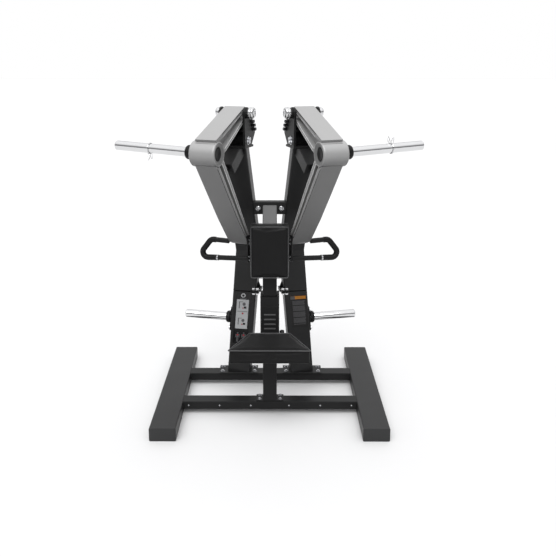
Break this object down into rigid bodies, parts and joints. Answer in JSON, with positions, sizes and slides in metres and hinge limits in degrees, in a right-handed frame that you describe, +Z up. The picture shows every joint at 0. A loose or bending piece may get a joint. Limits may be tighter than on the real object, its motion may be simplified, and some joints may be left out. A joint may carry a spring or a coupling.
{
  "type": "seated row machine",
  "caption": "Plate-loaded seated row machine: splayed lever arms with handle loops and plate horns, chest pad and height-adjustable seat on a box-tube frame.",
  "frame": {"origin": "centre of the footprint on the floor", "axes": "+Z up, X across the machine, -Y towards the side the user sits on"},
  "size_m": [1.63, 1.2398, 1.8398],
  "materials": {
    "powder_black": "satin textured powder coat, charcoal",
    "powder_dark": "satin textured powder coat, black",
    "arm_silver": "satin silver powder coat",
    "chrome": "polished",
    "black_plastic": "matte moulded",
    "grip_rubber": "matte",
    "upholstery": "stitched vinyl over foam"
  },
  "bodies": {
    "base_frame": {"left_floor_tube": "powder_black", "left_front_end_cap": "black_plastic", "left_rear_end_cap": "black_plastic", "left_column_foot_plate": "powder_dark", "left_lower_column": "powder_black", "left_upper_column": "powder_black", "left_pivot_bracket": "powder_dark", "left_pivot_shaft": "chrome", "left_stop_bar": "powder_black", "left_stop_bumper": "grip_rubber", "left_storage_plate": "powder_dark", "left_storage_collar": "black_plastic", "left_storage_horn": "chrome", "right_floor_tube": "powder_black", "right_front_end_cap": "black_plastic", "right_rear_end_cap": "black_plastic", "right_column_foot_plate": "powder_dark", "right_lower_column": "powder_black", "right_upper_column": "powder_black", "right_pivot_bracket": "powder_dark", "right_pivot_shaft": "chrome", "right_stop_bar": "powder_black", "right_stop_bumper": "grip_rubber", "right_storage_plate": "powder_dark", "right_storage_collar": "black_plastic", "right_storage_horn": "chrome", "front_cross_tube": "powder_dark", "rear_cross_tube": "powder_dark", "upper_cross_beam": "powder_dark", "post_foot_plate": "powder_dark", "center_post": "powder_dark", "post_top_brace": "powder_black", "chest_pad_plate": "powder_dark", "chest_pad": "upholstery"},
    "seat": {"seat_carriage": "powder_dark", "seat_bracket": "powder_dark", "seat_cushion": "upholstery"},
    "seat_pin": {"seat_pull_pin": "black_plastic"},
    "left_arm": {"left_upper_beam": "arm_silver", "left_pivot_sleeve": "chrome", "left_arm_hub": "arm_silver", "left_hub_cover": "black_plastic", "left_lower_beam": "arm_silver", "left_handle_bar": "powder_dark", "left_handle_grip": "grip_rubber", "left_handle_plate": "powder_dark", "left_horn_collar": "black_plastic", "left_plate_horn": "chrome"},
    "left_clip": {"left_spring_clip": "chrome"},
    "right_arm": {"right_upper_beam": "arm_silver", "right_pivot_sleeve": "chrome", "right_arm_hub": "arm_silver", "right_hub_cover": "black_plastic", "right_lower_beam": "arm_silver", "right_handle_bar": "powder_dark", "right_handle_grip": "grip_rubber", "right_handle_plate": "powder_dark", "right_horn_collar": "black_plastic", "right_plate_horn": "chrome"},
    "right_clip": {"right_spring_clip": "chrome"}
  },
  "joints": [
    {"name": "left_arm_pivot", "type": "hinge", "parent": "base_frame", "child": "left_arm", "pos_m": [-0.139, -0.2611, 1.806], "axis": [-0.9373, 0.3486, 0], "range_deg": [0, 40]},
    {"name": "left_clip_slide", "type": "slide", "parent": "left_arm", "child": "left_clip", "axis": [-0.9366, 0.3483, 0.0384], "range_m": [-0.2, 0.178]},
    {"name": "right_arm_pivot", "type": "hinge", "parent": "base_frame", "child": "right_arm", "pos_m": [0.139, -0.2611, 1.806], "axis": [-0.9373, -0.3486, 0], "range_deg": [0, 40]},
    {"name": "right_clip_slide", "type": "slide", "parent": "right_arm", "child": "right_clip", "axis": [0.9366, 0.3483, 0.0384], "range_m": [-0.2, 0.178]},
    {"name": "seat_height", "type": "slide", "parent": "base_frame", "child": "seat", "axis": [0, 0, 1], "range_m": [-0.116, 0.058]},
    {"name": "seat_pin_pull", "type": "slide", "parent": "seat", "child": "seat_pin", "axis": [1, 0, 0], "range_m": [0, 0.012], "stiffness_N_per_m": 800, "springref_m": -0.004}
  ]
}
